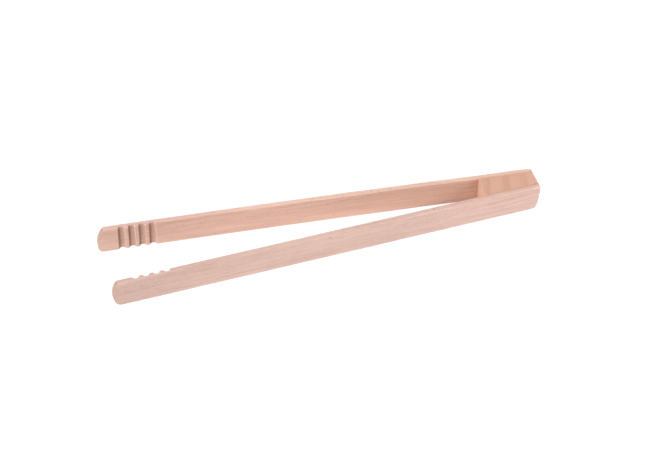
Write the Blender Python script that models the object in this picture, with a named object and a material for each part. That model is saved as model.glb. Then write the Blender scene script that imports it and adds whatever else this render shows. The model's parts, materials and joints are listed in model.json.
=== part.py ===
"""Wooden kitchen tongs: two springy beech arms glued to the sides of a tapered block.

The tongs lie on the arms' narrow edges. X runs from the tips (-X) to the butt (+X),
the arms open along Y, and Z is up, with Z = 0 under the arms.
"""

import math

import bmesh
import bpy
from mathutils import Matrix, Vector

# Overall sizes, in metres
tongs_length = 0.300                 # from the tips to the butt
arm_height = 0.019                   # the strip's wide side, which stands upright
arm_thickness = 0.004
splay_angle = math.radians(3.5)      # each arm leans out from the middle plane
edge_round = 0.0005                  # sanded long edges of the arms

# Block between the arms, and the glue on its two sides
block_length = 0.039
block_butt_width = 0.011
glue_thickness = 0.0002
glue_clearance = 0.00015             # between the film and the wood on each side of it
glue_inset = 0.0003                  # the film stops short of the block's top and bottom

# End shapes, as seen from the side
tip_round_radius = 0.018
tip_round_drop = 0.0015              # the round's centre lies this far below mid-height
butt_round_radius = 0.060
butt_round_rise = 0.0065             # the round's centre lies this far above mid-height

# Grip grooves across the inner faces
groove_count = 4
groove_pitch = 0.0069
groove_radius = 0.0023
groove_depth = 0.0020
first_groove_from_tip = 0.0163

# Bending of the arms
flex_from_block = 0.043              # block's front to the line that the arm bends about
flex_gap = 0.0003                    # between the glued root of an arm and its free blade

# Wood and glue colours, linear RGB
beech_colour = (0.76, 0.53, 0.43, 1.0)
block_colour = (0.72, 0.44, 0.32, 1.0)
glue_colour = (0.62, 0.40, 0.25, 1.0)

# Fineness of the round shapes
end_round_steps = 14
edge_round_steps = 2
groove_sides = 32

# How far the cutters and the uncut blanks run past the finished shape
cut_margin = 0.004

# Values that follow from the sizes above
glue_gap = glue_thickness + 2 * glue_clearance
butt_x = tongs_length / 2
block_front_x = butt_x - block_length
flex_x = block_front_x - flex_from_block
mid_height = arm_height / 2
half_gap_at_butt = block_butt_width / 2 + glue_gap / math.cos(splay_angle)
half_gap_at_flex = half_gap_at_butt + (butt_x - flex_x) * math.tan(splay_angle)
tip_reach = (tongs_length / 2 + flex_x) / math.cos(splay_angle)
butt_reach = (butt_x - flex_x) / math.cos(splay_angle)

sides = {"left": -1, "right": 1}     # as held by the butt, tips pointing away


def clear_scene():
    """Remove every object, so that the model starts from nothing."""
    for old_object in list(bpy.data.objects):
        bpy.data.objects.remove(old_object, do_unlink=True)


def new_collection(name):
    collection = bpy.data.collections.new(name)
    bpy.context.scene.collection.children.link(collection)
    return collection


def make_material(name, colour, roughness):
    material = bpy.data.materials.new(name)
    material.use_nodes = True
    shader = material.node_tree.nodes["Principled BSDF"]
    shader.inputs["Base Color"].default_value = colour
    shader.inputs["Roughness"].default_value = roughness
    shader.inputs["Metallic"].default_value = 0.0
    return material


def round_points(centre, radius, low_z, high_z, direction):
    """Points of a round from low_z up to high_z, bulging along direction (-1 or +1) in X."""
    low_angle = math.asin((low_z - centre.y) / radius)
    high_angle = math.asin((high_z - centre.y) / radius)
    points = []
    for step in range(end_round_steps + 1):
        angle = low_angle + (high_angle - low_angle) * step / end_round_steps
        x = centre.x + direction * radius * math.cos(angle)
        points.append(Vector((x, centre.y + radius * math.sin(angle))))
    return points


def solid_from_outline(name, outline, width, collection, rim_round=0.0):
    """Stand a flat XZ outline upright as a solid of the given width, centred on Y = 0."""
    curve = bpy.data.curves.new(name, "CURVE")
    curve.dimensions = "2D"
    curve.fill_mode = "BOTH"
    curve.extrude = width / 2 - rim_round
    curve.bevel_depth = rim_round
    curve.bevel_resolution = edge_round_steps
    curve.offset = -rim_round
    spline = curve.splines.new("POLY")
    spline.points.add(len(outline) - 1)
    for point, place in zip(spline.points, outline):
        point.co = (place.x, place.y, 0.0, 1.0)
    spline.use_cyclic_u = True

    curve_object = bpy.data.objects.new(name + "_outline", curve)
    bpy.context.scene.collection.objects.link(curve_object)
    bpy.context.view_layer.update()
    evaluated = curve_object.evaluated_get(bpy.context.evaluated_depsgraph_get())
    mesh = bpy.data.meshes.new_from_object(evaluated)
    mesh.name = name
    bpy.data.objects.remove(curve_object)

    shape = bmesh.new()
    shape.from_mesh(mesh)
    bmesh.ops.remove_doubles(shape, verts=shape.verts, dist=0.000001)
    upright = Matrix.Rotation(math.radians(90), 4, "X")
    bmesh.ops.transform(shape, matrix=upright, verts=shape.verts)
    bmesh.ops.recalc_face_normals(shape, faces=shape.faces)
    shape.to_mesh(mesh)
    shape.free()

    solid = bpy.data.objects.new(name, mesh)
    collection.objects.link(solid)
    return solid


def box(name, low, high, collection):
    """A box between two corners, with its origin where the corners are measured from."""
    mesh = bpy.data.meshes.new(name)
    shape = bmesh.new()
    bmesh.ops.create_cube(shape, size=1.0)
    size = Matrix.Diagonal((high - low).to_4d())
    size[3][3] = 1.0
    place = Matrix.Translation((low + high) / 2) @ size
    bmesh.ops.transform(shape, matrix=place, verts=shape.verts)
    shape.to_mesh(mesh)
    shape.free()
    solid = bpy.data.objects.new(name, mesh)
    collection.objects.link(solid)
    return solid


def as_cutter(cutter):
    cutter.hide_render = True
    cutter.display_type = "WIRE"
    return cutter


def cut(solid, cutter):
    boolean = solid.modifiers.new("cut_" + cutter.name, "BOOLEAN")
    boolean.operation = "DIFFERENCE"
    boolean.solver = "EXACT"
    boolean.object = cutter


def make_butt_cutter(collection):
    """Everything past the shared rounded butt, which is sanded after gluing."""
    centre = Vector((butt_x - butt_round_radius, mid_height + butt_round_rise))
    face = round_points(centre, butt_round_radius, -cut_margin, arm_height + cut_margin, 1)
    past_butt_x = butt_x + 2 * cut_margin
    outline = face + [
        Vector((past_butt_x, arm_height + cut_margin)),
        Vector((past_butt_x, -cut_margin)),
    ]
    width = 2 * (half_gap_at_flex + arm_thickness + cut_margin)
    return as_cutter(solid_from_outline("butt_sanding_cut", outline, width, collection))


def make_arm_blank(collection):
    """An uncut arm strip, measured from the line that it bends about."""
    centre = Vector((tip_round_radius - tip_reach, mid_height - tip_round_drop))
    tip = round_points(centre, tip_round_radius, 0.0, arm_height, -1)
    blank_end_x = butt_reach + cut_margin
    outline = tip + [Vector((blank_end_x, arm_height)), Vector((blank_end_x, 0.0))]
    return solid_from_outline("arm_blank", outline, arm_thickness, collection, edge_round)


def make_groove_cutter(name, side, collection):
    """A row of round bars that mill the grooves into an arm's inner face."""
    bar_length = arm_height + 2 * cut_margin
    mesh = bpy.data.meshes.new(name)
    shape = bmesh.new()
    for groove in range(groove_count):
        x = first_groove_from_tip + groove * groove_pitch - tip_reach
        y = side * (groove_depth - groove_radius)
        place = Matrix.Translation((x, y, mid_height))
        bmesh.ops.create_cone(
            shape,
            cap_ends=True,
            segments=groove_sides,
            radius1=groove_radius,
            radius2=groove_radius,
            depth=bar_length,
            matrix=place,
        )
    shape.to_mesh(mesh)
    shape.free()
    cutter = bpy.data.objects.new(name, mesh)
    collection.objects.link(cutter)
    return as_cutter(cutter)


def make_split_cutter(name, direction, collection):
    """Removes the arm on one side of the bending line: direction -1 tip side, +1 butt side."""
    near_x = -direction * flex_gap / 2
    far_x = direction * (tip_reach + butt_reach)
    reach_y = arm_thickness + cut_margin
    low = Vector((min(near_x, far_x), -reach_y, -cut_margin))
    high = Vector((max(near_x, far_x), reach_y, arm_height + cut_margin))
    return as_cutter(box(name, low, high, collection))


def make_hinge_empty(side_name, side, collection):
    """Stands on the line that the arm bends about, at its inner face, along the arm."""
    hinge = bpy.data.objects.new(side_name + "_arm_flex_line", None)
    hinge.location = (flex_x, side * half_gap_at_flex, 0.0)
    hinge.rotation_euler = (0.0, 0.0, -side * splay_angle)
    collection.objects.link(hinge)
    return hinge


def make_arm(side_name, side, blank, butt_cutter, parts, cutters):
    """One arm: the root that is glued to the block, and the free blade with the grooves."""
    hinge = make_hinge_empty(side_name, side, parts)
    tip_side = make_split_cutter(side_name + "_tip_side_cut", -1, cutters)
    butt_side = make_split_cutter(side_name + "_butt_side_cut", 1, cutters)
    grooves = make_groove_cutter(side_name + "_grooves_cut", side, cutters)
    for cutter in (tip_side, butt_side, grooves):
        cutter.parent = hinge

    strip = blank.data.copy()
    strip.transform(Matrix.Translation((0.0, side * arm_thickness / 2, 0.0)))
    strip.shade_smooth()
    strip.set_sharp_from_angle(angle=math.radians(30))

    root = bpy.data.objects.new(side_name + "_arm_root", strip)
    blade = bpy.data.objects.new(side_name + "_arm_blade", strip.copy())
    for piece in (root, blade):
        parts.objects.link(piece)
        piece.parent = hinge
        piece.data.materials.append(make_material(piece.name, beech_colour, 0.55))
    cut(root, tip_side)
    cut(root, butt_cutter)
    cut(blade, butt_side)
    cut(blade, grooves)
    return hinge


def make_glue_film(side_name, side, hinge, butt_cutter, parts):
    """The thin film of set glue between the block's side and the arm's inner face."""
    front_x = (block_front_x - flex_x) / math.cos(splay_angle)
    outer_y = -side * glue_clearance
    inner_y = -side * (glue_clearance + glue_thickness)
    low = Vector((front_x, min(outer_y, inner_y), glue_inset))
    high = Vector((butt_reach + cut_margin, max(outer_y, inner_y), arm_height - glue_inset))
    film = box(side_name + "_glue_film", low, high, parts)
    film.parent = hinge
    film.data.materials.append(make_material(film.name, glue_colour, 0.35))
    cut(film, butt_cutter)
    return film


def make_block(hinges, butt_cutter, parts, cutters):
    """The tapered block: a squared blank whose sides are cut along the arms."""
    length = Vector((butt_x - block_front_x + cut_margin, 0.0, 0.0))
    half_blank_width = half_gap_at_flex
    low = Vector((block_front_x, -half_blank_width, 0.0))
    high = low + length + Vector((0.0, 2 * half_blank_width, arm_height))
    block = box("wedge_block", low, high, parts)
    block.data.materials.append(make_material(block.name, block_colour, 0.6))
    for side_name, side in sides.items():
        near_y = -side * glue_gap
        far_y = side * (half_blank_width + arm_thickness + cut_margin)
        cut_low = Vector((-cut_margin, min(near_y, far_y), -cut_margin))
        cut_high = Vector((butt_reach + 3 * cut_margin, max(near_y, far_y), arm_height + cut_margin))
        side_cutter = as_cutter(box(side_name + "_block_side_cut", cut_low, cut_high, cutters))
        side_cutter.parent = hinges[side_name]
        cut(block, side_cutter)
    cut(block, butt_cutter)
    return block


def make_tongs():
    clear_scene()
    parts = new_collection("wooden_tongs")
    cutters = new_collection("tongs_cutters")
    butt_cutter = make_butt_cutter(cutters)
    blank = as_cutter(make_arm_blank(cutters))
    hinges = {}
    for side_name, side in sides.items():
        hinges[side_name] = make_arm(side_name, side, blank, butt_cutter, parts, cutters)
        make_glue_film(side_name, side, hinges[side_name], butt_cutter, parts)
    make_block(hinges, butt_cutter, parts, cutters)


make_tongs()
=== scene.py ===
import json
import math

import bmesh
import bpy
from mathutils import Matrix, Vector, noise


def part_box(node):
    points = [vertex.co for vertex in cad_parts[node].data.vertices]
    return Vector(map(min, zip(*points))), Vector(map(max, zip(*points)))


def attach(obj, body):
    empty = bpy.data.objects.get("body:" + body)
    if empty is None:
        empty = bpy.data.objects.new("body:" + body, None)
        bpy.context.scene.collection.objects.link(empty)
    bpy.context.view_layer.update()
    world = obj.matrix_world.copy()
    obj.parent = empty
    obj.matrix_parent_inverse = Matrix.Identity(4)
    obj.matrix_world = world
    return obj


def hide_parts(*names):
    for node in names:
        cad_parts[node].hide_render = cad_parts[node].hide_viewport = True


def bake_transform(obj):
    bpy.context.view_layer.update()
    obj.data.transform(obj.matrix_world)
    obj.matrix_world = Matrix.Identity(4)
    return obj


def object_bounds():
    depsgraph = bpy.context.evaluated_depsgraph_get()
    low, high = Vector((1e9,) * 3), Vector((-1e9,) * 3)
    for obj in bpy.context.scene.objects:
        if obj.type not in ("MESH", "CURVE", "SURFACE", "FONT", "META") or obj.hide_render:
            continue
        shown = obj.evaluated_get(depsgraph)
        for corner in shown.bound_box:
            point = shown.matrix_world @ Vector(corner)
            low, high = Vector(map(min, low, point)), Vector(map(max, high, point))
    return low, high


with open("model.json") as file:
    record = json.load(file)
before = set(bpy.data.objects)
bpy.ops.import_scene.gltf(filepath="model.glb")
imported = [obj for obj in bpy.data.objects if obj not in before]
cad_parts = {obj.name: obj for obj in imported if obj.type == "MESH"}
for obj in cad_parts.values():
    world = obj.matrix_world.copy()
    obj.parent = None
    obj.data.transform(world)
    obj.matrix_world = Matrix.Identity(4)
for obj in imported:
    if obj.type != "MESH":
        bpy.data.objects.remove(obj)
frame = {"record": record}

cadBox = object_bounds()
print("tongs: frame loaded")


def recordItem(items, name):
    return next(item for item in items if item["name"] == name)


record = frame["record"]
rightFlex = recordItem(record["behaviour"]["joints"], "right_arm_flex")
rightGrip = recordItem(record["mounts"], "grip_face_right")

flexPoint = Vector(rightFlex["pos_m"])      # on the arm's inner face
gripPoint = Vector(rightGrip["pos_m"])      # on the arm's outer face
splay = math.atan2(rightGrip["axis"][0], rightGrip["axis"][1])
armThickness = (gripPoint - flexPoint).dot(Vector(rightGrip["axis"]).normalized())
tipX = cadBox[0].x
buttX = cadBox[1].x
armHeight = cadBox[1].z - cadBox[0].z
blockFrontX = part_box("wedge_block")[0].x
armLength = (buttX - tipX) / math.cos(splay)
blockStart = (blockFrontX - tipX) / math.cos(splay)     # along an arm, from its tip
white = (1.0, 1.0, 1.0)


def innerFaceY(x):
    # half the gap between the arms at x
    return flexPoint.y + (flexPoint.x - x) * math.tan(splay)


cameraView = {
    "azimuth": -16.30,
    "elevation": 42.91,
    "roll": 0.79,
    "distance": 1.2678,
    "slideRight": -0.00169,
    "slideUp": 0.00276,
    "lens": 105.01,
    "sensorWidth": 36.0,
    "nearest": 0.05,
    "farthest": 20.0,
}


def makeCamera(view):
    azimuth = math.radians(view["azimuth"])
    elevation = math.radians(view["elevation"])
    back = Vector((
        math.sin(azimuth) * math.cos(elevation),
        -math.cos(azimuth) * math.cos(elevation),
        math.sin(elevation),
    ))
    level = Vector((math.cos(azimuth), math.sin(azimuth), 0.0))
    roll = Matrix.Rotation(math.radians(view["roll"]), 3, back)
    right = roll @ level
    up = roll @ back.cross(level)
    cameraData = bpy.data.cameras.new("photoCamera")
    cameraData.lens = view["lens"]
    cameraData.sensor_width = view["sensorWidth"]
    cameraData.clip_start = view["nearest"]
    cameraData.clip_end = view["farthest"]
    cameraData.dof.use_dof = False
    camera = bpy.data.objects.new("photoCamera", cameraData)
    bpy.context.scene.collection.objects.link(camera)
    place = back * view["distance"] + right * view["slideRight"] + up * view["slideUp"]
    turn = Matrix((right, up, back)).transposed().to_4x4()
    camera.matrix_world = Matrix.Translation(place) @ turn
    bpy.context.scene.camera = camera


def addObject(name, bm):
    mesh = bpy.data.meshes.new(name)
    bm.to_mesh(mesh)
    bm.free()
    made = bpy.data.objects.new(name, mesh)
    bpy.context.scene.collection.objects.link(made)
    return made


def joinLoops(bm, loops):
    # a band of four-sided faces between each closed loop and the next
    for loopA, loopB in zip(loops, loops[1:]):
        for i in range(len(loopA)):
            j = (i + 1) % len(loopA)
            bm.faces.new((loopA[i], loopA[j], loopB[j], loopB[i]))


def addNode(tree, kind, values=None, **settings):
    # values maps an input's name or number to a constant, or to another node's output
    made = tree.nodes.new(kind)
    for name, setting in settings.items():
        setattr(made, name, setting)
    for key, value in (values or {}).items():
        if isinstance(value, bpy.types.NodeSocket):
            tree.links.new(value, made.inputs[key])
        else:
            made.inputs[key].default_value = value
    return made


def calc(tree, operation, a, b=0.0, c=0.0, clamp=False):
    return addNode(
        tree, "ShaderNodeMath", {0: a, 1: b, 2: c}, operation=operation, use_clamp=clamp
    ).outputs[0]


def remap(tree, value, low, high, toLow=0.0, toHigh=1.0, smooth=False):
    made = addNode(
        tree,
        "ShaderNodeMapRange",
        {"Value": value, "From Min": low, "From Max": high, "To Min": toLow, "To Max": toHigh},
    )
    made.interpolation_type = "SMOOTHSTEP" if smooth else "LINEAR"
    return made.outputs["Result"]


def mixColour(tree, amount, a, b, blend="MIX"):
    # set to colours, a Mix node takes them at inputs 6 and 7 and gives them at output 2
    made = addNode(tree, "ShaderNodeMix", data_type="RGBA", blend_type=blend)
    for socket, value in ((made.inputs[0], amount), (made.inputs[6], a), (made.inputs[7], b)):
        if isinstance(value, bpy.types.NodeSocket):
            tree.links.new(value, socket)
        else:
            socket.default_value = value
    return made.outputs[2]


def stretched(tree, vector, scale):
    return addNode(tree, "ShaderNodeMapping", {"Vector": vector, "Scale": scale}).outputs["Vector"]


def pointValue(tree, name, output="Fac"):
    # reads one of the attributes that are written on the mesh
    return addNode(tree, "ShaderNodeAttribute", attribute_name=name).outputs[output]


armWood = {
    "early": (0.765, 0.535, 0.465),      # pale wood between the rings' lines
    "late": (0.640, 0.420, 0.340),       # the rings' darker lines
    "fleck": (0.430, 0.235, 0.165),      # rays and pores
    "spot": (0.300, 0.150, 0.100),       # mineral spots
    # partly painted shade: darker than the wood's own end grain, for the shaded butt end
    "endGrain": (0.385, 0.245, 0.195),
    "ringSpacing": 0.0026,
    "ringDrift": 0.0075,                 # how far the rings wander
    "ringUneven": 2.2,                   # how much their spacing varies
    "ringLine": 0.42,                    # how strongly a ring's line shows
    "mottle": 1.0,                       # how strong the broad patches are
    "fleckShow": 0.62,
    "endShow": 0.90,                     # how far the end grain's colour replaces the rest
    "roughness": 0.70,
    "usedTint": (0.915, 0.915, 0.918),
    # painted shade in the corner between arm and block
    "cornerShadeTint": (0.840, 0.770, 0.695),
}

blockWood = {
    "early": (0.645, 0.393, 0.298),
    "late": (0.528, 0.294, 0.204),
    "fleck": (0.390, 0.200, 0.132),
    "spot": (0.270, 0.126, 0.081),
    "endGrain": (0.592, 0.342, 0.249),
    "ringSpacing": 0.0125,
    "ringDrift": 0.0030,
    "ringUneven": 0.9,
    "ringLine": 0.30,
    "mottle": 1.5,
    "fleckShow": 0.55,
    "endShow": 0.70,
    "roughness": 0.72,
    "usedTint": white,
    "cornerShadeTint": white,
}

# the rest of the figure is alike in both woods. A size is in repeats to the metre, along the
# fibres, outward from the heart of the tree, and around it. Clouds are given as size, detail,
# roughness, and the noise where they start and where they are full; dashes as size, the
# smallest and largest dash, and the share of places that have one
beechFigure = {
    "heartDistance": 0.06,               # turns an angle around the heart into metres
    "driftSize": (11.0, 55.0, 55.0),
    "swaySize": (26.0, 40.0, 40.0),
    "sway": 0.002,                       # how far the rays wander around the heart
    "unevenSize": (3.0, 190.0, 8.0),
    "ringDarkens": 0.35,                 # the share of a ring where it starts to darken
    "ringEnds": 0.93,                    # and where its line is darkest
    "ringsKept": ((5.0, 130.0, 30.0), 2.0, 0.5, 0.35, 0.65),
    "ringsKeptLeast": 0.35,              # the least that a ring's line is kept
    "patches": ((13.0, 70.0, 70.0), 2.0, 0.5, 0.32, 0.68),
    "patchTakes": (0.055, 0.075, 0.070),
    "patchAdds": (0.030, 0.035, 0.025),
    "streaks": ((22.0, 900.0, 700.0), 3.0, 0.6, 0.3, 0.7),
    "streakDark": (0.915, 0.900, 0.890),
    "streakLight": (1.050, 1.055, 1.060),
    "fibres": ((110.0, 3800.0, 3400.0), 3.0, 0.65, 0.3, 0.7),
    "fibreDark": (0.900, 0.890, 0.880),
    "fibreLight": (1.070, 1.075, 1.080),
    "bigRays": ((360.0, 150.0, 1500.0), 0.14, 0.40, 0.55),
    "smallRays": ((760.0, 300.0, 3000.0), 0.16, 0.40, 0.60),
    "smallRayShow": 0.6,
    "spots": ((60.0, 160.0, 160.0), 0.04, 0.11, 0.22),
    "spotShow": 0.55,
    "pores": ((1200.0, 4200.0, 4200.0), 0.18, 0.40, 0.75),
    "poreShow": 0.45,
    "rayShowOnEnd": 0.30,
    "ringOnEndLight": (1.04, 1.045, 1.05),
    "ringOnEndDark": (0.92, 0.90, 0.88),
    # painted shade in the grooves
    "grooveShadeTint": (0.990, 0.985, 0.980),
    "wearShadePatches": ((70.0, 300.0, 300.0), 2.0, 0.5, 0.38, 0.62),
    # edge wear and painted shade on the rounded edges
    "wearShadeTint": (0.895, 0.865, 0.845),
    "smootherFibre": -0.05,              # changes to the wood's roughness
    "rougherFibre": 0.07,
    "rayRoughness": -0.08,
    "endRoughness": 0.12,
    "wornRoughness": -0.12,
    "streakHeight": 0.5,                 # parts of the relief, whose whole depth is in metres
    "fibreHeight": 0.5,
    "rayHeight": -0.5,
    "poreHeight": -0.8,
    "reliefDepth": 0.00005,
    "reliefStrength": 0.5,
    "specular": 0.25,
}


def colour(rgb):
    return (rgb[0], rgb[1], rgb[2], 1.0)


def startMaterial(name):
    material = bpy.data.materials.new(name)
    material.use_nodes = True
    tree = material.node_tree
    tree.nodes.clear()
    shader = tree.nodes.new("ShaderNodeBsdfPrincipled")
    output = tree.nodes.new("ShaderNodeOutputMaterial")
    tree.links.new(shader.outputs[0], output.inputs["Surface"])
    return material, tree, shader


def cloudNoise(tree, vector, scale, detail=2.0, roughness=0.5):
    placed = stretched(tree, vector, scale)
    return addNode(
        tree,
        "ShaderNodeTexNoise",
        {"Vector": placed, "Scale": 1.0, "Detail": detail, "Roughness": roughness},
    ).outputs["Fac"]


def clouds(tree, vector, scale, detail, roughness, low, high, least=0.0):
    return remap(tree, cloudNoise(tree, vector, scale, detail, roughness), low, high, least, 1.0)


def dashes(tree, vector, scale, smallest, largest, share):
    # scattered dashes, one to a cell: a share of the cells has one, each of its own size
    cells = addNode(
        tree,
        "ShaderNodeTexVoronoi",
        {"Vector": stretched(tree, vector, scale), "Scale": 1.0, "Randomness": 1.0},
    )
    pick = addNode(tree, "ShaderNodeSeparateColor", {0: cells.outputs["Color"]})
    size = remap(tree, pick.outputs[0], 0.0, 1.0, smallest, largest)
    shape = remap(tree, calc(tree, "DIVIDE", cells.outputs["Distance"], size), 1.0, 0.4, smooth=True)
    strength = remap(tree, pick.outputs[1], 1.0 - share, 1.0, 0.0, 1.0)
    return calc(tree, "MULTIPLY", shape, calc(tree, "POWER", strength, 0.5), clamp=True)


def tinted(tree, base, amount, dark, light):
    # multiplies a colour by a tint that runs from dark to light
    tint = mixColour(tree, amount, colour(dark), colour(light))
    return mixColour(tree, 1.0, base, tint, "MULTIPLY")


def beechMaterial(name, wood, figure, tone=white, edgeShade=white):
    # the attribute grain gives each point's place in the log, in metres: X along the fibres,
    # and the heart of the tree at Y = Z = 0
    material, tree, shader = startMaterial(name)
    grain = pointValue(tree, "grain", "Vector")
    along, y, z = addNode(tree, "ShaderNodeSeparateXYZ", {0: grain}).outputs

    # outward from the heart, and around it
    outward = calc(tree, "SQRT", calc(tree, "MULTIPLY_ADD", y, y, calc(tree, "MULTIPLY", z, z)))
    around = calc(tree, "MULTIPLY", calc(tree, "ARCTAN2", z, y), figure["heartDistance"])
    drift = calc(tree, "SUBTRACT", cloudNoise(tree, grain, figure["driftSize"]), 0.5)
    outward = calc(tree, "MULTIPLY_ADD", drift, wood["ringDrift"], outward)
    sway = calc(tree, "SUBTRACT", cloudNoise(tree, grain, figure["swaySize"]), 0.5)
    around = calc(tree, "MULTIPLY_ADD", sway, figure["sway"], around)
    log = addNode(tree, "ShaderNodeCombineXYZ", {0: along, 1: outward, 2: around}).outputs[0]

    # yearly rings: pale wood that darkens slowly to a thin line
    uneven = cloudNoise(tree, log, figure["unevenSize"], 1.0)
    uneven = calc(tree, "MULTIPLY", uneven, wood["ringUneven"])
    ring = calc(tree, "MULTIPLY_ADD", outward, 1.0 / wood["ringSpacing"], uneven)
    ring = calc(tree, "FRACT", ring)
    line = calc(
        tree,
        "MULTIPLY",
        remap(tree, ring, figure["ringDarkens"], figure["ringEnds"], smooth=True),
        remap(tree, ring, 1.0, figure["ringEnds"], smooth=True),
    )
    kept = clouds(tree, log, *figure["ringsKept"], least=figure["ringsKeptLeast"])
    base = mixColour(
        tree,
        calc(tree, "MULTIPLY", line, calc(tree, "MULTIPLY", kept, wood["ringLine"])),
        colour([a * b for a, b in zip(tone, wood["early"])]),
        colour([a * b for a, b in zip(tone, wood["late"])]),
    )

    # broad pinker and yellower patches, streaks, and fine fibres
    patches = clouds(tree, grain, *figure["patches"])
    patchDark = [1.0 - part * wood["mottle"] for part in figure["patchTakes"]]
    patchLight = [1.0 + part * wood["mottle"] for part in figure["patchAdds"]]
    base = tinted(tree, base, patches, patchDark, patchLight)
    streaks = clouds(tree, log, *figure["streaks"])
    base = tinted(tree, base, streaks, figure["streakDark"], figure["streakLight"])
    fibres = clouds(tree, log, *figure["fibres"])
    base = tinted(tree, base, fibres, figure["fibreDark"], figure["fibreLight"])

    # rays: sheets that stand outward from the heart, so they show as short dashes on a face that
    # lies along the rings and as wide flecks on a face that crosses them
    bigRays = dashes(tree, log, *figure["bigRays"])
    smallRays = dashes(tree, log, *figure["smallRays"])
    rays = calc(tree, "MULTIPLY_ADD", smallRays, figure["smallRayShow"], bigRays, clamp=True)
    shown = calc(tree, "MULTIPLY", rays, wood["fleckShow"])
    base = mixColour(tree, shown, base, colour(wood["fleck"]))

    # a few dark mineral spots
    shown = calc(tree, "MULTIPLY", dashes(tree, log, *figure["spots"]), figure["spotShow"])
    base = mixColour(tree, shown, base, colour(wood["spot"]))

    # faces across the fibres are darker, on the arms partly as painted shade, and show open pores
    endCut = pointValue(tree, "endCut")
    pores = dashes(tree, log, *figure["pores"])
    endColour = tinted(
        tree, colour(wood["endGrain"]), line, figure["ringOnEndLight"], figure["ringOnEndDark"]
    )
    shown = calc(tree, "MULTIPLY", pores, figure["poreShow"])
    endColour = mixColour(tree, shown, endColour, colour(wood["fleck"]))
    shown = calc(tree, "MULTIPLY", rays, figure["rayShowOnEnd"])
    endColour = mixColour(tree, shown, endColour, colour(wood["early"]))
    base = mixColour(tree, calc(tree, "MULTIPLY", endCut, wood["endShow"]), base, endColour)

    # painted shade darkens the grooves a little, and the rounded edges are darker, partly as wear and
    # partly as painted shade
    base = tinted(tree, base, pointValue(tree, "milled"), white, figure["grooveShadeTint"])
    # edge wear and painted shade on the rounded edges, in patches
    patchy = clouds(tree, grain, *figure["wearShadePatches"])
    wornAndShaded = calc(tree, "MULTIPLY", pointValue(tree, "edgeWearAndShade"), patchy, clamp=True)
    base = tinted(tree, base, wornAndShaded, white, figure["wearShadeTint"])

    # painted shade on the narrow top and bottom faces, darker tips, and painted shade on the inner
    # face towards the corner between arm and block
    base = tinted(tree, base, pointValue(tree, "edgeFace"), white, edgeShade)
    base = tinted(tree, base, pointValue(tree, "used"), white, wood["usedTint"])
    base = tinted(tree, base, pointValue(tree, "corner"), white, wood["cornerShadeTint"])
    tree.links.new(base, shader.inputs["Base Color"])

    smoothest = wood["roughness"] + figure["smootherFibre"]
    roughest = wood["roughness"] + figure["rougherFibre"]
    rough = remap(tree, fibres, 0.0, 1.0, smoothest, roughest)
    rough = calc(tree, "MULTIPLY_ADD", rays, figure["rayRoughness"], rough)
    rough = calc(tree, "MULTIPLY_ADD", endCut, figure["endRoughness"], rough)
    rough = calc(tree, "MULTIPLY_ADD", wornAndShaded, figure["wornRoughness"], rough)
    tree.links.new(rough, shader.inputs["Roughness"])

    height = calc(tree, "MULTIPLY", fibres, figure["fibreHeight"])
    height = calc(tree, "MULTIPLY_ADD", streaks, figure["streakHeight"], height)
    height = calc(tree, "MULTIPLY_ADD", rays, figure["rayHeight"], height)
    openPores = calc(tree, "MULTIPLY", pores, endCut)
    height = calc(tree, "MULTIPLY_ADD", openPores, figure["poreHeight"], height)
    relief = {
        "Strength": figure["reliefStrength"],
        "Distance": figure["reliefDepth"],
        "Height": height,
    }
    bump = addNode(tree, "ShaderNodeBump", relief)
    tree.links.new(bump.outputs[0], shader.inputs["Normal"])
    shader.inputs["Specular IOR Level"].default_value = figure["specular"]
    return material


glueLook = {
    "tint": (0.52, 0.30, 0.17),
    "paleTint": (0.62, 0.40, 0.25),
    "mottleSize": 900.0,
    "smoothest": 0.3,
    "roughest": 0.5,
}


def glueMaterial(look):
    material, tree, shader = startMaterial("setGlue")
    place = addNode(tree, "ShaderNodeTexCoord").outputs["Object"]
    mottle = addNode(
        tree,
        "ShaderNodeTexNoise",
        {"Vector": place, "Scale": look["mottleSize"], "Detail": 2.0},
    ).outputs["Fac"]
    paler = remap(tree, mottle, 0.35, 0.65)
    tint = mixColour(tree, paler, colour(look["tint"]), colour(look["paleTint"]))
    tree.links.new(tint, shader.inputs["Base Color"])
    rough = remap(tree, mottle, 0.3, 0.7, look["smoothest"], look["roughest"])
    tree.links.new(rough, shader.inputs["Roughness"])
    return material


armShape = {
    "buttRound": 0.060,
    "buttCentreZ": 0.016,
    "buttTopCorner": 0.0016,
    "buttBottomCorner": 0.0030,
    "edgeRound": 0.0005,         # sanded long edges
    "gluedEdgeRound": 0.00012,   # inner edge alongside the block
    "buttOuterRound": 0.0011,    # outer edge around the butt
    "buttCrown": 0.0002,         # the butt's sides sit this far behind its middle
    "buttSkew": 0.0003,          # and its left side this much more
    "buttReach": 0.012,          # the butt's shaping fades out over this length
    "squareReach": 0.010,        # and the turn that squares the butt over this one
    "gluedReach": 0.003,         # the inner edge's rounding changes over this length
    "sanding": ((0.12, 95.0, 1.3), (0.08, 241.0, 0.0)),      # uneven rounding: share, waves, phase
    "waver": 0.00006,            # the faces aren't quite flat
    "waverSize": (38.0, 60.0, 25.0),
    "waverApart": 7.0,           # keeps the two arms' waver from being alike
    "waverStart": 0.03,
    "endClear": 0.0008,          # from an end's rounding to the first station
    "closest": 0.0006,           # the least distance from a plain station to a groove's
    "stationStep": 0.0025,
    "roundSteps": 12,
    "cornerSteps": 5,
    "edgeSteps": 5,
    "faceSteps": 14,
}
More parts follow.
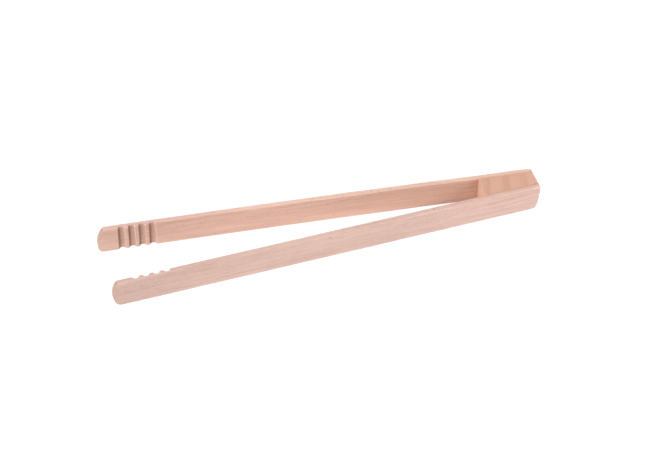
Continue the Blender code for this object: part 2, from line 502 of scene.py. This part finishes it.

# each arm was rounded by hand and cut from its own place in the log, so the two differ a little; the
# second tone of each is painted shade on its narrow top and bottom faces
handWork = {
    "left": {
        "tipRound": 0.0165,      # big round of the tip, seen from the side
        "tipCentreZ": 0.0093,
        "topCorner": 0.0028,
        "bottomCorner": 0.0046,
        "bow": 0.0001,           # the free arm bows outward by this much
        "inLog": (1.43, 0.058, 0.026),
        "tone": (1.070, 1.070, 1.075),
        "edgeShade": (0.845, 0.835, 0.825),
    },
    "right": {
        "tipRound": 0.0200,
        "tipCentreZ": 0.0067,
        "topCorner": 0.0010,
        "bottomCorner": 0.0036,
        "bow": 0.0010,
        "inLog": (0.31, 0.052, -0.040),
        "tone": (1.105, 1.060, 0.997),
        "edgeShade": (0.930, 0.940, 0.960),
    },
}

darkerPlaces = {
    "tipStart": 0.010,           # the tips are darkest up to here
    "tipReach": 0.095,           # and it fades out over this length
    "gapShadeReach": 0.150,           # painted shade on the inner faces grows slowly towards the block
    "gapShadeShare": 0.45,
    "cornerShadeReach": 0.009,        # and more painted shade in the corner itself
}

# how far a face must be turned to count as cut across the fibres, or as a narrow edge
facing = {
    "endFrom": 0.25,
    "endOver": 0.45,
    "litWallGrainShare": 0.1,            # the share of end grain kept on a groove's butt-side wall, as painted light; the tip-side wall keeps it all as painted shade
    "edgeFrom": 0.55,
    "edgeOver": 0.35,
}

grooves = {
    "count": 4,
    "first": 0.0163,             # tip to the first groove's middle
    "pitch": 0.0069,
    "radius": 0.0023,
    "depth": 0.0020,
    "ridgeRound": 0.0005,
    "arcSteps": 9,
    "lipParts": (0.25, 0.5, 0.75, 1.0, 1.25),    # places across the rounded lip and just beyond
}


def smooth(value):
    value = min(1.0, max(0.0, value))
    return value * value * (3.0 - 2.0 * value)


def endRail(radius, centreZ, edgeZ, corner, shape):
    # from an end's foremost point to its straight edge: (inset along the arm, z, normal)
    up = 1.0 if edgeZ > centreZ else -1.0
    rise = abs(edgeZ - centreZ)
    cornerAngle = math.asin((rise - corner) / (radius - corner))
    cornerInset = radius - (radius - corner) * math.cos(cornerAngle)
    rail = []
    for step in range(shape["roundSteps"] + 1):
        angle = cornerAngle * step / shape["roundSteps"]
        inset = radius - radius * math.cos(angle)
        z = centreZ + up * radius * math.sin(angle)
        rail.append((inset, z, -math.cos(angle), up * math.sin(angle)))
    for step in range(1, shape["cornerSteps"] + 1):
        angle = cornerAngle + (math.pi / 2 - cornerAngle) * step / shape["cornerSteps"]
        inset = cornerInset - corner * math.cos(angle)
        z = edgeZ - up * corner * (1.0 - math.sin(angle))
        rail.append((inset, z, -math.cos(angle), up * math.sin(angle)))
    return rail


def grooveReach(g):
    # from a groove's middle to where its rounded lip meets the flat face
    lip = g["ridgeRound"]
    return math.sqrt((g["radius"] + lip) ** 2 - (lip + g["radius"] - g["depth"]) ** 2)


def straightStations(start, end, shape, g):
    # places along the arm, close together where the grooves are
    reach = grooveReach(g)
    touch = reach * g["radius"] / (g["radius"] + g["ridgeRound"])
    special = []
    for index in range(g["count"]):
        middle = g["first"] + index * g["pitch"]
        for step in range(-g["arcSteps"], g["arcSteps"] + 1):
            angle = math.asin(touch / g["radius"]) * step / g["arcSteps"]
            special.append(middle + g["radius"] * math.sin(angle))
        for side in (-1, 1):
            for part in g["lipParts"]:
                special.append(middle + side * (touch + (reach - touch) * part))
    places = [s for s in special if start < s < end]
    count = math.ceil((end - start) / shape["stationStep"])
    for index in range(1, count):
        s = start + (end - start) * index / count
        if min(abs(s - other) for other in special) > shape["closest"]:
            places.append(s)
    return sorted(places)


def buttRail(shape, edgeZ, edge):
    corner = shape["butt" + edge + "Corner"]
    return endRail(shape["buttRound"], shape["buttCentreZ"], edgeZ, corner, shape)


def armRails(shape, hand, g):
    # the top and the bottom edge of an arm as matched lists of (s, z, normal s, normal z)
    edges = (("Top", armHeight, 1.0), ("Bottom", 0.0, -1.0))
    ends = []
    for edge, edgeZ, _ in edges:
        corner = hand[edge.lower() + "Corner"]
        tip = endRail(hand["tipRound"], hand["tipCentreZ"], edgeZ, corner, shape)
        ends.append((tip, buttRail(shape, edgeZ, edge)))
    start = max(tip[-1][0] for tip, _ in ends) + shape["endClear"]
    end = armLength - max(butt[-1][0] for _, butt in ends) - shape["endClear"]
    stations = straightStations(start, end, shape, g)
    rails = []
    for (tip, butt), (_, edgeZ, up) in zip(ends, edges):
        rail = list(tip)
        rail += [(s, edgeZ, 0.0, up) for s in stations]
        for inset, z, normalS, normalZ in reversed(butt):
            rail.append((armLength - inset, z, -normalS, normalZ))
        rails.append(rail)
    return rails


def innerEdgeRound(s, shape):
    glued = smooth((s - blockStart + shape["gluedReach"] / 2) / shape["gluedReach"])
    return shape["edgeRound"] * (1.0 - glued) + shape["gluedEdgeRound"] * glued


def outerEdgeRound(s, shape):
    atButt = smooth((s - armLength + shape["buttReach"]) / shape["buttReach"])
    sanding = 1.0
    for share, waves, phase in shape["sanding"]:
        sanding += share * math.sin(s * waves + phase)
    return (shape["edgeRound"] * sanding) * (1.0 - atButt) + shape["buttOuterRound"] * atButt


def armStrip(name, shape, hand, g):
    # X along the arm from its tip, Y from the inner to the outer face, Z up
    top, bottom = armRails(shape, hand, g)
    last = len(top) - 1
    bm = bmesh.new()
    # a mask for edge wear and painted shade on the rounded edges
    wearShadeLayer = bm.verts.layers.float.new("edgeWearAndShade")

    # the rounded inner edge, then the rounded outer edge, in steps of angle
    layers = []
    for step in range(shape["edgeSteps"] + 1):
        layers.append((0, math.pi / 2 * step / shape["edgeSteps"]))
    for step in range(shape["edgeSteps"], -1, -1):
        layers.append((1, math.pi / 2 * step / shape["edgeSteps"]))

    def edgePoint(rail, index, outer, angle):
        s, z, normalS, normalZ = rail[index]
        radius = outerEdgeRound(s, shape) if outer else innerEdgeRound(s, shape)
        inset = radius * (1.0 - math.sin(angle))
        depth = radius * (1.0 - math.cos(angle))
        y = armThickness - depth if outer else depth
        return Vector((s - normalS * inset, y, z - normalZ * inset))

    def addVertex(place, wearShade):
        vertex = bm.verts.new(place)
        vertex[wearShadeLayer] = wearShade
        return vertex

    loops = []
    for outer, angle in layers:
        wearShade = math.sin(2.0 * angle)
        upper = [addVertex(edgePoint(top, i, outer, angle), wearShade) for i in range(last + 1)]
        lower = [addVertex(edgePoint(bottom, i, outer, angle), wearShade) for i in range(1, last)]
        loops.append((upper, lower))

    joinLoops(bm, [upper + lower[::-1] for upper, lower in loops])

    # the two wide faces, in columns from the bottom edge to the top one
    for upper, lower in (loops[0], loops[-1]):
        columns = [[upper[0]]]
        for i in range(1, last):
            low, high = lower[i - 1], upper[i]
            column = [low]
            for step in range(1, shape["faceSteps"]):
                share = 0.5 - 0.5 * math.cos(math.pi * step / shape["faceSteps"])
                column.append(addVertex(low.co.lerp(high.co, share), 0.0))
            column.append(high)
            columns.append(column)
        columns.append([upper[last]])
        for left, right in zip(columns, columns[1:]):
            if len(left) == 1:
                for a, b in zip(right, right[1:]):
                    bm.faces.new((left[0], a, b))
            elif len(right) == 1:
                for a, b in zip(left, left[1:]):
                    bm.faces.new((a, right[0], b))
            else:
                for k in range(len(left) - 1):
                    bm.faces.new((left[k], right[k], right[k + 1], left[k + 1]))

    bmesh.ops.recalc_face_normals(bm, faces=bm.faces)
    return addObject(name, bm)


def grooveTree():
    # pushes the inner face outward where a row of round grooves crosses it
    tree = bpy.data.node_groups.new("millGrooves", "GeometryNodeTree")
    for name, kind in (
        ("Geometry", "NodeSocketGeometry"),
        ("Grooves", "NodeSocketInt"),
        ("First Groove", "NodeSocketFloat"),
        ("Pitch", "NodeSocketFloat"),
        ("Radius", "NodeSocketFloat"),
        ("Depth", "NodeSocketFloat"),
        ("Ridge Round", "NodeSocketFloat"),
        ("Thickness", "NodeSocketFloat"),
        ("Wood", "NodeSocketMaterial"),
    ):
        tree.interface.new_socket(name, in_out="INPUT", socket_type=kind)
    tree.interface.new_socket("Geometry", in_out="OUTPUT", socket_type="NodeSocketGeometry")
    given = tree.nodes.new("NodeGroupInput").outputs
    place = tree.nodes.new("GeometryNodeInputPosition").outputs[0]
    s, y, z = addNode(tree, "ShaderNodeSeparateXYZ", {0: place}).outputs

    # the nearest groove's middle
    index = calc(tree, "DIVIDE", calc(tree, "SUBTRACT", s, given["First Groove"]), given["Pitch"])
    index = calc(tree, "MAXIMUM", calc(tree, "ROUND", index), 0.0)
    index = calc(tree, "MINIMUM", index, calc(tree, "SUBTRACT", given["Grooves"], 1.0))
    middle = calc(tree, "MULTIPLY_ADD", index, given["Pitch"], given["First Groove"])
    away = calc(tree, "ABSOLUTE", calc(tree, "SUBTRACT", s, middle))

    def halfChord(size, along):
        # half the width of a circle of that size, this far along from its middle
        sizeSquared = calc(tree, "MULTIPLY", size, size)
        square = calc(tree, "SUBTRACT", sizeSquared, calc(tree, "MULTIPLY", along, along))
        return calc(tree, "SQRT", calc(tree, "MAXIMUM", square, 0.0))

    # round bottom, then the rounded lip of the ridge
    radius, lip = given["Radius"], given["Ridge Round"]
    outside = calc(tree, "SUBTRACT", radius, given["Depth"])
    whole = calc(tree, "ADD", radius, lip)
    reach = halfChord(whole, calc(tree, "ADD", lip, outside))
    touch = calc(tree, "DIVIDE", calc(tree, "MULTIPLY", reach, radius), whole)
    bottomDepth = calc(tree, "SUBTRACT", halfChord(radius, away), outside)
    lipDepth = calc(tree, "SUBTRACT", lip, halfChord(lip, calc(tree, "SUBTRACT", reach, away)))
    inBottom = calc(tree, "LESS_THAN", away, touch)
    inLip = calc(tree, "SUBTRACT", calc(tree, "LESS_THAN", away, reach), inBottom)
    depth = calc(tree, "MULTIPLY", bottomDepth, inBottom)
    depth = calc(tree, "MULTIPLY_ADD", lipDepth, inLip, depth)

    # squeeze the strip's thickness towards its outer face
    left = calc(tree, "DIVIDE", calc(tree, "SUBTRACT", given["Thickness"], depth), given["Thickness"])
    newY = calc(tree, "MULTIPLY_ADD", y, left, depth)
    newPlace = addNode(tree, "ShaderNodeCombineXYZ", {0: s, 1: newY, 2: z}).outputs[0]
    moved = addNode(tree, "GeometryNodeSetPosition", {"Geometry": given["Geometry"], "Position": newPlace})
    milled = addNode(
        tree,
        "GeometryNodeStoreNamedAttribute",
        {"Geometry": moved.outputs[0], "Name": "milled"},
        data_type="FLOAT",
        domain="POINT",
    )
    onInnerFace = calc(tree, "LESS_THAN", y, calc(tree, "MULTIPLY", given["Thickness"], 0.5))
    share = calc(tree, "MULTIPLY", calc(tree, "DIVIDE", depth, given["Depth"]), onInnerFace)
    tree.links.new(share, milled.inputs["Value"])
    real = addNode(tree, "GeometryNodeRealizeInstances", {0: milled.outputs[0]})
    dressing = {"Geometry": real.outputs[0], "Material": given["Wood"]}
    dressed = addNode(tree, "GeometryNodeSetMaterial", dressing)
    addNode(tree, "NodeGroupOutput", {0: dressed.outputs[0]})
    return tree


def millGrooves(strip, tree, g, material):
    modifier = strip.modifiers.new("grooves", "NODES")
    modifier.node_group = tree
    values = {
        "Grooves": g["count"],
        "First Groove": g["first"],
        "Pitch": g["pitch"],
        "Radius": g["radius"],
        "Depth": g["depth"],
        "Ridge Round": g["ridgeRound"],
        "Thickness": armThickness,
        "Wood": material,
    }
    for item in tree.interface.items_tree:
        if item.in_out == "INPUT" and item.name in values:
            modifier[item.identifier] = values[item.name]
    bpy.context.view_layer.update()
    evaluated = strip.evaluated_get(bpy.context.evaluated_depsgraph_get())
    mesh = bpy.data.meshes.new_from_object(evaluated)
    strip.modifiers.clear()
    strip.data = mesh


def buttSetback(x, y):
    # the sanded butt is slightly crowned from side to side
    across = y / (innerFaceY(buttX) + armThickness)
    setback = armShape["buttCrown"] * across ** 2 + armShape["buttSkew"] * (1.0 - across) / 2
    return smooth((x - buttX + armShape["buttReach"]) / armShape["buttReach"]) * setback


def addPointValues(mesh, **kinds):
    # a new attribute moves the earlier ones, so all are made before any is looked up
    for name, kind in kinds.items():
        mesh.attributes.new(name, kind, "POINT")
    mesh.update()
    return [mesh.attributes[name].data for name in kinds]


def setGrain(mesh, along, shift):
    # keeps each point's place in the plank, so that the figure stays with the wood
    grain, endCut = addPointValues(mesh, grain="FLOAT_VECTOR", endCut="FLOAT")
    milled = mesh.attributes.get("milled")
    for vertex in mesh.vertices:
        grain[vertex.index].vector = along @ vertex.co + shift
        lengthwise = (along @ vertex.normal).x
        cut = smooth((abs(lengthwise) - facing["endFrom"]) / facing["endOver"])
        if milled and milled.data[vertex.index].value > 0.0 and lengthwise < 0.0:
            cut *= facing["litWallGrainShare"]      # painted shade: a groove's tip-side wall keeps its dark end grain, and the butt-side wall loses most of it as painted light
        endCut[vertex.index].value = cut


def setTipAndShadeMasks(mesh):
    # masks on an arm that still lies along X: darker tips, the narrow faces for painted shade, and painted
    # shade on the inner face towards the block
    used, corner, edgeFace = addPointValues(mesh, used="FLOAT", corner="FLOAT", edgeFace="FLOAT")
    share = darkerPlaces["gapShadeShare"]
    for vertex in mesh.vertices:
        s, y, _ = vertex.co
        # the narrow top and bottom faces, which get painted shade
        upright = smooth((abs(vertex.normal.z) - facing["edgeFrom"]) / facing["edgeOver"])
        edgeFace[vertex.index].value = upright
        fromTip = smooth((s - darkerPlaces["tipStart"]) / darkerPlaces["tipReach"])
        used[vertex.index].value = 1.0 - fromTip
        # painted shade on the inner face, growing slowly towards the block and more in its corner
        broad = smooth((s - blockStart) / darkerPlaces["gapShadeReach"] + 1.0)
        close = smooth((s - blockStart) / darkerPlaces["cornerShadeReach"] + 1.0)
        inner = 1.0 - min(1.0, 2.0 * y / armThickness)
        corner[vertex.index].value = inner * (share * broad + (1.0 - share) * close)


def placeArm(mesh, side, shape, hand):
    # waver and bow, a squared butt, then the turn to the arm's place
    sizeS, sizeY, sizeZ = shape["waverSize"]
    for vertex in mesh.vertices:
        s, y, z = vertex.co
        spot = Vector((s * sizeS, side * shape["waverApart"] + y * sizeY, z * sizeZ))
        waver = noise.noise(spot) * shape["waver"]
        waver *= min(1.0, s / shape["waverStart"])
        free = min(1.0, max(0.0, s / blockStart))
        bow = hand["bow"] * 4.0 * free * (1.0 - free)
        toButt = smooth((s - armLength + shape["squareReach"]) / shape["squareReach"])
        vertex.co = Vector((s - y * math.tan(splay) * toButt, y + bow + waver, z))
    along = Vector((math.cos(splay), -side * math.sin(splay), 0.0))
    outward = Vector((math.sin(splay), side * math.cos(splay), 0.0))
    start = Vector((tipX, side * innerFaceY(tipX), 0.0))
    turn = Matrix((along, outward, Vector((0.0, 0.0, 1.0)))).transposed().to_4x4()
    mesh.transform(Matrix.Translation(start) @ turn)
    if side < 0:
        mesh.flip_normals()
    for vertex in mesh.vertices:
        vertex.co.x -= buttSetback(vertex.co.x, vertex.co.y)
    mesh.update()
    mesh.shade_smooth()


def makeArm(sideName, side, tree):
    hand = handWork[sideName]
    tones = (hand["tone"], hand["edgeShade"])
    material = beechMaterial(sideName + "ArmBeech", armWood, beechFigure, *tones)
    strip = armStrip(sideName + "Arm", armShape, hand, grooves)
    millGrooves(strip, tree, grooves, material)
    setGrain(strip.data, Matrix.Identity(3), Vector(hand["inLog"]))
    setTipAndShadeMasks(strip.data)
    placeArm(strip.data, side, armShape, hand)
    nodes = [sideName + "_arm_root", sideName + "_arm_blade"]
    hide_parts(*nodes)
    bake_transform(strip)
    print("tongs:", strip.name, len(strip.data.vertices), "vertices")


blockShape = {
    "glueLine": 0.00014,         # between the block's side and the arm
    "frontCorner": 0.0004,
    "sink": 0.00008,             # the block stands this much lower than the arms
    "inLog": (0.70, -0.075, -0.010),
    "sharpFrom": 35.0,           # degrees between faces
    "layers": 12,
    "frontShares": (0.3, 0.5, 0.7),      # places down the front face
    "frontSteps": 4,
    "lengthSteps": 16,
}


def blockOutline(shape):
    # the block from the side, as (x, z): down its front, along the bottom, up the butt, and back
    low, high = shape["sink"], armHeight - shape["sink"]
    corner = shape["frontCorner"]
    lower = buttRail(armShape, low, "Bottom")
    upper = buttRail(armShape, high, "Top")
    front = [(blockFrontX, high - (high - low) * share) for share in shape["frontShares"]]
    lowerFront = []
    for step in range(shape["frontSteps"] + 1):
        angle = math.pi / 2 * step / shape["frontSteps"]
        x = blockFrontX + corner * (1 - math.cos(angle))
        lowerFront.append((x, low + corner * (1 - math.sin(angle))))
    lowerEnd = buttX - lower[-1][0]
    upperEnd = buttX - upper[-1][0]
    count = shape["lengthSteps"]
    startX = blockFrontX + corner
    outline = front + lowerFront
    outline += [(startX + (lowerEnd - startX) * i / count, low) for i in range(1, count)]
    outline += [(buttX - inset, z) for inset, z, _, _ in reversed(lower)]
    outline += [(buttX - inset, z) for inset, z, _, _ in upper[1:]]
    outline += [(upperEnd + (startX - upperEnd) * i / count, high) for i in range(1, count)]
    outline += [(x, high - (z - low)) for x, z in reversed(lowerFront)]
    return outline


def makeBlock(shape, material):
    outline = blockOutline(shape)
    bm = bmesh.new()
    rings = []
    for layer in range(shape["layers"] + 1):
        share = 2.0 * layer / shape["layers"] - 1.0
        ring = []
        for x, z in outline:
            halfWidth = innerFaceY(x) - shape["glueLine"]
            y = share * halfWidth
            ring.append(bm.verts.new((x - buttSetback(x, y), y, z)))
        rings.append(ring)
    joinLoops(bm, rings)
    bm.faces.new(rings[0])
    bm.faces.new(rings[-1])
    bmesh.ops.recalc_face_normals(bm, faces=bm.faces)
    block = addObject("wedgeBlock", bm)
    mesh = block.data
    mesh.materials.append(material)
    # its fibres stand upright
    upright = Matrix(((0.0, 0.0, 1.0), (1.0, 0.0, 0.0), (0.0, 1.0, 0.0)))
    setGrain(mesh, upright, Vector(shape["inLog"]))
    mesh.shade_smooth()
    mesh.set_sharp_from_angle(angle=math.radians(shape["sharpFrom"]))
    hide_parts("wedge_block")
    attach(block, "handle")
    print("tongs: block made")


glueShape = {
    "recess": 0.00010,           # the film lies this far below the sanded faces
    "buttGap": 0.0012,           # and stops this far short of the butt
    "roundGap": 0.0003,          # it stays this far inside the butt's round
    "armGap": 0.00002,
    "blockGap": 0.00001,
    "steps": 24,
}


def makeGlueLine(sideName, side, shape, material):
    # a thin sheet that fills the seam, just below the sanded faces
    bm = bmesh.new()
    recess = shape["recess"]
    low, high = recess + blockShape["sink"], armHeight - recess - blockShape["sink"]
    buttRound, buttZ = armShape["buttRound"], armShape["buttCentreZ"]
    length = buttX - shape["buttGap"] - blockFrontX - recess
    rows = []
    for i in range(shape["steps"] + 1):
        x = blockFrontX + recess + length * i / shape["steps"]
        lowHere, highHere = low, high
        behind = buttX - recess - x
        if behind < buttRound:
            chord = math.sqrt(buttRound ** 2 - (buttRound - behind) ** 2)
            lowHere = max(low, buttZ - chord + shape["roundGap"])
            highHere = min(high, buttZ + chord - shape["roundGap"])
        row = []
        for depth in (shape["armGap"], blockShape["glueLine"] - shape["blockGap"]):
            y = side * (innerFaceY(x) - depth)
            row.append((bm.verts.new((x, y, lowHere)), bm.verts.new((x, y, highHere))))
        rows.append(row)
    for (armA, blockA), (armB, blockB) in zip(rows, rows[1:]):
        bm.faces.new((armA[0], armB[0], armB[1], armA[1]))
        bm.faces.new((blockA[0], blockA[1], blockB[1], blockB[0]))
        bm.faces.new((armA[1], armB[1], blockB[1], blockA[1]))
        bm.faces.new((armA[0], blockA[0], blockB[0], armB[0]))
    for arm, block in (rows[0], rows[-1]):
        bm.faces.new((arm[0], arm[1], block[1], block[0]))
    bmesh.ops.recalc_face_normals(bm, faces=bm.faces)
    glue = addObject(sideName + "GlueLine", bm)
    glue.data.materials.append(material)
    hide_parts(sideName + "_glue_film")
    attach(glue, "handle")
    print("tongs:", glue.name, "made")


studio = {
    "floorSize": 60.0,
    "floorGap": 0.0001,
    "floorShade": 0.55,
    "floorRoughness": 0.9,
    "floorSpecular": 0.1,
    "floorGlow": 0.20,
    "skyStrength": 0.25,
    "backdropGlow": 1.05,        # how bright the floor and the backdrop look by themselves
    "lampSize": 0.5,
    "lamps": {
        "lowKey": ((-1.15, 0.00, 0.34), 11.0),
        "frontKey": ((-0.80, -0.57, 0.69), 5.9),
        "rightKey": ((1.06, -0.21, 0.53), 15.0),
        "backFill": ((-0.10, 1.18, 0.18), 5.0),
    },
}


def makeStudio(look):
    bm = bmesh.new()
    bmesh.ops.create_grid(bm, x_segments=1, y_segments=1, size=look["floorSize"] / 2)
    floor = addObject("studioFloor", bm)
    floor.location.z = cadBox[0].z - look["floorGap"]
    material, tree, shader = startMaterial("paleFloor")
    shader.inputs["Base Color"].default_value = colour((look["floorShade"],) * 3)
    shader.inputs["Roughness"].default_value = look["floorRoughness"]
    shader.inputs["Specular IOR Level"].default_value = look["floorSpecular"]
    shader.inputs["Emission Color"].default_value = colour(white)
    shader.inputs["Emission Strength"].default_value = look["floorGlow"]
    # seen directly it is an even pale sheet; its light on the wood is set by floorGlow
    seen = addNode(tree, "ShaderNodeLightPath").outputs["Is Camera Ray"]
    sheet = addNode(tree, "ShaderNodeEmission", {"Strength": look["backdropGlow"]})
    both = addNode(tree, "ShaderNodeMixShader", {0: seen, 1: shader.outputs[0], 2: sheet.outputs[0]})
    tree.links.new(both.outputs[0], tree.nodes["Material Output"].inputs["Surface"])
    floor.data.materials.append(material)

    world = bpy.data.worlds.new("softStudio")
    world.use_nodes = True
    sky = world.node_tree
    background = sky.nodes["Background"]
    background.inputs["Color"].default_value = colour(white)
    seen = addNode(sky, "ShaderNodeLightPath").outputs["Is Camera Ray"]
    strength = remap(sky, seen, 0.0, 1.0, look["skyStrength"], look["backdropGlow"])
    sky.links.new(strength, background.inputs["Strength"])
    bpy.context.scene.world = world

    for name, (place, power) in look["lamps"].items():
        lamp = bpy.data.lights.new(name, "AREA")
        lamp.energy = power
        lamp.size = look["lampSize"]
        stand = bpy.data.objects.new(name, lamp)
        stand.location = place
        stand.rotation_euler = (-Vector(place)).to_track_quat("-Z", "Y").to_euler()
        bpy.context.scene.collection.objects.link(stand)
    bpy.context.scene.view_settings.view_transform = "Standard"


sides = {"left": -1, "right": 1}

makeCamera(cameraView)
blockMaterial = beechMaterial("blockBeech", blockWood, beechFigure)
grooveNodes = grooveTree()
for sideName, side in sides.items():
    makeArm(sideName, side, grooveNodes)
makeBlock(blockShape, blockMaterial)
glueFinish = glueMaterial(glueLook)
for sideName, side in sides.items():
    makeGlueLine(sideName, side, glueShape, glueFinish)
makeStudio(studio)
print("tongs: studio ready")
